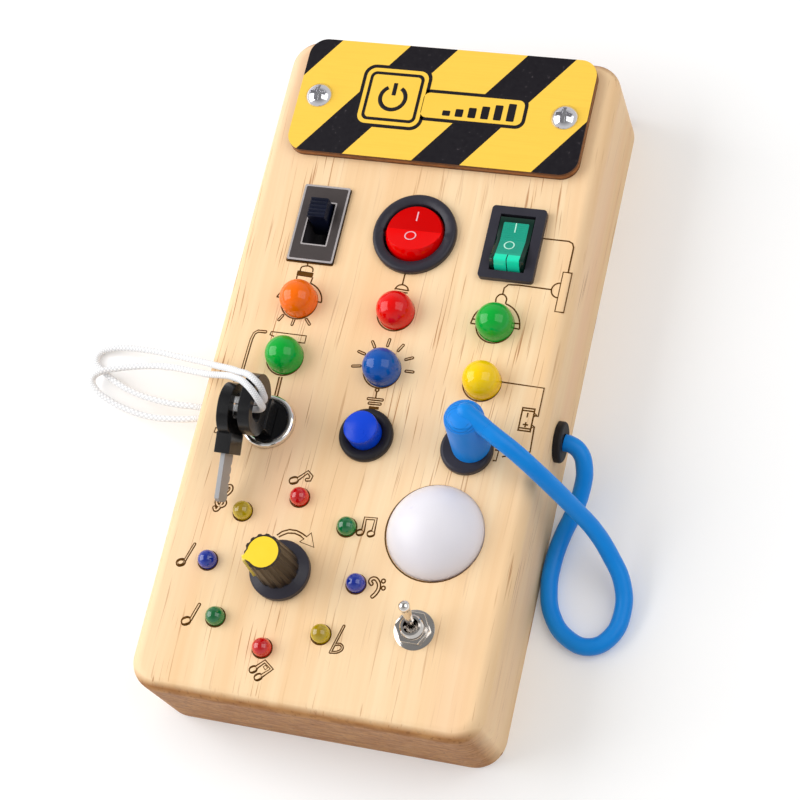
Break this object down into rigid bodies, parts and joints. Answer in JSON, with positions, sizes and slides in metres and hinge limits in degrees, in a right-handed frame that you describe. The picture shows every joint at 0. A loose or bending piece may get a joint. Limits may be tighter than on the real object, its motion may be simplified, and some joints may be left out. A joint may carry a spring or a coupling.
{
  "type": "busy board",
  "caption": "Flat wooden busy board for toddlers with coloured lamps, rockers, a slide switch, key lock, push button, patch plug, rotary knob, toggle and domed lamp",
  "frame": {"origin": "middle of the wooden body's flat back, on the surface that the board lies on", "axes": "+Z out of the control panel, +Y along the board towards the striped plate, +X to the right"},
  "size_m": [0.167, 0.1896, 0.0528],
  "materials": {
    "body_wood": "oiled light pine or beech with fine grain",
    "cover_wood": "plain thin plywood",
    "screw_steel": "satin",
    "warning_yellow": "thin plywood printed yellow with black stripes, brown cut edge",
    "dark_chrome": "dark mirror finish",
    "black_plastic": "fine satin",
    "navy_plastic": "satin",
    "red_plastic": "glossy",
    "green_plastic": "glossy",
    "tinned_metal": "tinned",
    "lamp_orange": "coloured clear resin",
    "lamp_red": "coloured clear resin",
    "lamp_green": "coloured clear resin",
    "lamp_blue": "coloured clear resin",
    "lamp_yellow": "coloured clear resin",
    "circuit_board": "solder mask",
    "white_lens": "milky diffusing",
    "lock_chrome": "polished",
    "gloss_black": "glossy",
    "nickel": "nickel plated",
    "key_steel": "nickel silver, satin",
    "white_cord": "round braid",
    "button_blue": "glossy",
    "spring_steel": "plain",
    "cable_blue": "soft moulded, satin",
    "black_rubber": "matte",
    "knob_yellow": "satin",
    "cell_jacket": "plain printed jacket",
    "wire_cover": "plain insulation"
  },
  "bodies": {
    "board": {"wooden_body": "body_wood", "back_cover": "cover_wood", "back_screws": "screw_steel", "hazard_plate": "warning_yellow", "plate_screws": "screw_steel", "slide_plate": "dark_chrome", "slide_housing": "black_plastic", "round_rocker_housing": "black_plastic", "rect_rocker_housing": "black_plastic", "switch_terminals": "tinned_metal", "lamp_orange": "lamp_orange", "lamp_red": "lamp_red", "lamps_green": "lamp_green", "lamp_blue": "lamp_blue", "lamp_yellow": "lamp_yellow", "lamp_board": "circuit_board", "ring_leds_blue": "lamp_blue", "ring_leds_green": "lamp_green", "ring_leds_red": "lamp_red", "ring_leds_yellow": "lamp_yellow", "ring_board": "circuit_board", "dome_lens": "white_lens", "dome_board": "circuit_board", "lock_barrel": "lock_chrome", "panel_nuts": "nickel", "key_cord_a": "white_cord", "key_cord_b": "white_cord", "cord_anchor_knot": "white_cord", "button_body": "black_plastic", "button_spring": "spring_steel", "jack_body": "black_plastic", "blue_cable": "cable_blue", "cable_grommet": "black_rubber", "rotary_switch": "black_plastic", "rotary_nut": "nickel", "toggle_body": "red_plastic", "toggle_bushing": "nickel", "toggle_nut": "nickel", "toggle_washer": "nickel", "battery_tray": "black_plastic", "battery_door": "black_plastic", "battery_cells": "cell_jacket", "battery_contacts": "tinned_metal", "battery_wires": "wire_cover"},
    "slide_button": {"slide_thumb": "navy_plastic"},
    "round_rocker": {"round_rocker_cap": "red_plastic"},
    "rect_rocker": {"rect_rocker_cap": "green_plastic"},
    "push_button": {"button_cap": "button_blue"},
    "plug": {"plug_body": "cable_blue", "plug_pin": "nickel"},
    "keys": {"lock_rotor": "gloss_black", "key_blade": "key_steel", "key_head": "gloss_black", "spare_key_blade": "key_steel", "spare_key_head": "gloss_black", "key_cord_knot": "white_cord"},
    "knob": {"knob_body": "black_plastic", "knob_pointer": "knob_yellow", "rotary_shaft": "nickel"},
    "toggle": {"toggle_lever": "nickel"}
  },
  "joints": [
    {"name": "slide_switch", "type": "slide", "parent": "board", "child": "slide_button", "axis": [0, -1, 0], "range_m": [0, 0.006]},
    {"name": "round_rocker_tilt", "type": "hinge", "parent": "board", "child": "round_rocker", "pos_m": [0.001, 0.03781, 0.029], "axis": [1, 0, 0], "range_deg": [0, 20]},
    {"name": "rect_rocker_tilt", "type": "hinge", "parent": "board", "child": "rect_rocker", "pos_m": [0.02831, 0.03781, 0.029], "axis": [1, 0, 0], "range_deg": [0, 20]},
    {"name": "button_press", "type": "slide", "parent": "board", "child": "push_button", "axis": [0, 0, -1], "range_m": [0, 0.003], "stiffness_N_per_m": 150, "springref_m": -0.002, "deforming": ["button_spring"]},
    {"name": "plug_pull", "type": "slide", "parent": "board", "child": "plug", "axis": [0, 0, 1], "range_m": [0, 0.014], "deforming": ["blue_cable"]},
    {"name": "key_turn", "type": "hinge", "parent": "board", "child": "keys", "pos_m": [-0.02631, -0.0201, 0.03], "axis": [0, 0, 1], "range_deg": [-90, 0], "deforming": ["key_cord_a", "key_cord_b"]},
    {"name": "knob_turn", "type": "hinge", "parent": "board", "child": "knob", "pos_m": [-0.0127, -0.0594, 0.03], "axis": [0, 0, 1], "range_deg": [-242, 73]},
    {"name": "toggle_flip", "type": "hinge", "parent": "board", "child": "toggle", "pos_m": [0.0252, -0.06879, 0.0315], "axis": [1, 0, 0], "range_deg": [0, 22]}
  ]
}
